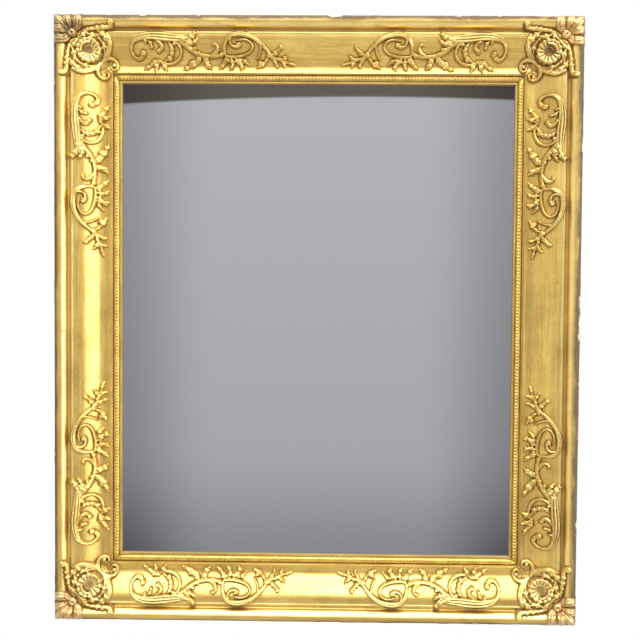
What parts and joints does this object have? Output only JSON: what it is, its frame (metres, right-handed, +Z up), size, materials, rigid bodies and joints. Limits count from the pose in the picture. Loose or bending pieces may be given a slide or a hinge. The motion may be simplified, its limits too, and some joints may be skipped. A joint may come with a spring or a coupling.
{
  "type": "picture frame",
  "caption": "Gilded picture frame with a falling gorge, cast scrollwork, corner shells and a leaf-tip sight edge, open for a picture, with hangers and turn buttons on its back.",
  "frame": {"origin": "the middle of the opening, on the plane of the back that lies to the wall", "axes": "+Z up, +Y into the wall, so the gilded front faces -Y, and +X to the right as seen from the front"},
  "size_m": [0.698, 0.0674, 0.806],
  "materials": {
    "gilt_moulding": "gold leaf over bole and gesso, worn and chipped",
    "gilt_cast": "gold leaf over cast composition, burnished on its high parts",
    "gilt_sight": "gold leaf, darkened in the hollows",
    "pine": "bare, aged",
    "beech": "bare, aged",
    "brass": "dulled",
    "iron": "blackened steel"
  },
  "bodies": {
    "frame": {"rail_top": "gilt_moulding", "rail_bottom": "gilt_moulding", "rail_left": "gilt_moulding", "rail_right": "gilt_moulding", "sight_moulding_top": "gilt_sight", "sight_moulding_bottom": "gilt_sight", "sight_moulding_left": "gilt_sight", "sight_moulding_right": "gilt_sight", "back_batten_top": "pine", "back_batten_bottom": "pine", "back_batten_left": "pine", "back_batten_right": "pine", "corner_key_top_left": "beech", "corner_key_top_right": "beech", "corner_key_bottom_left": "beech", "corner_key_bottom_right": "beech", "scroll_top_left": "gilt_cast", "scroll_top_right": "gilt_cast", "scroll_bottom_left": "gilt_cast", "scroll_bottom_right": "gilt_cast", "scroll_left_upper": "gilt_cast", "scroll_left_lower": "gilt_cast", "scroll_right_upper": "gilt_cast", "scroll_right_lower": "gilt_cast", "cartouche_top_left": "gilt_cast", "cartouche_top_right": "gilt_cast", "cartouche_bottom_left": "gilt_cast", "cartouche_bottom_right": "gilt_cast", "palmette_top_left": "gilt_cast", "palmette_top_right": "gilt_cast", "palmette_bottom_left": "gilt_cast", "palmette_bottom_right": "gilt_cast", "hanger_strap_left": "brass", "hanger_strap_right": "brass", "hanger_screws": "iron", "turn_button_screws": "iron"},
    "d_ring_left": {"d_ring_left": "brass"},
    "d_ring_right": {"d_ring_right": "brass"},
    "turn_button_left_upper": {"turn_button_left_upper": "brass"},
    "turn_button_left_lower": {"turn_button_left_lower": "brass"},
    "turn_button_right_upper": {"turn_button_right_upper": "brass"},
    "turn_button_right_lower": {"turn_button_right_lower": "brass"},
    "turn_button_top": {"turn_button_top": "brass"},
    "turn_button_bottom": {"turn_button_bottom": "brass"}
  },
  "joints": [
    {"name": "d_ring_left_swing", "type": "hinge", "parent": "frame", "child": "d_ring_left", "pos_m": [-0.311, 0.00233, 0.19], "axis": [1, 0, 0], "range_deg": [-3, 174]},
    {"name": "d_ring_right_swing", "type": "hinge", "parent": "frame", "child": "d_ring_right", "pos_m": [0.311, 0.00233, 0.19], "axis": [1, 0, 0], "range_deg": [-3, 174]},
    {"name": "turn_button_left_upper_turn", "type": "hinge", "parent": "frame", "child": "turn_button_left_upper", "pos_m": [-0.281, 0.001, 0.13], "axis": [0, 1, 0], "continuous": true},
    {"name": "turn_button_left_lower_turn", "type": "hinge", "parent": "frame", "child": "turn_button_left_lower", "pos_m": [-0.281, 0.001, -0.13], "axis": [0, 1, 0], "continuous": true},
    {"name": "turn_button_right_upper_turn", "type": "hinge", "parent": "frame", "child": "turn_button_right_upper", "pos_m": [0.281, 0.001, 0.13], "axis": [0, 1, 0], "continuous": true},
    {"name": "turn_button_right_lower_turn", "type": "hinge", "parent": "frame", "child": "turn_button_right_lower", "pos_m": [0.281, 0.001, -0.13], "axis": [0, 1, 0], "continuous": true},
    {"name": "turn_button_top_turn", "type": "hinge", "parent": "frame", "child": "turn_button_top", "pos_m": [0, 0.001, 0.335], "axis": [0, 1, 0], "continuous": true},
    {"name": "turn_button_bottom_turn", "type": "hinge", "parent": "frame", "child": "turn_button_bottom", "pos_m": [0, 0.001, -0.335], "axis": [0, 1, 0], "continuous": true}
  ]
}
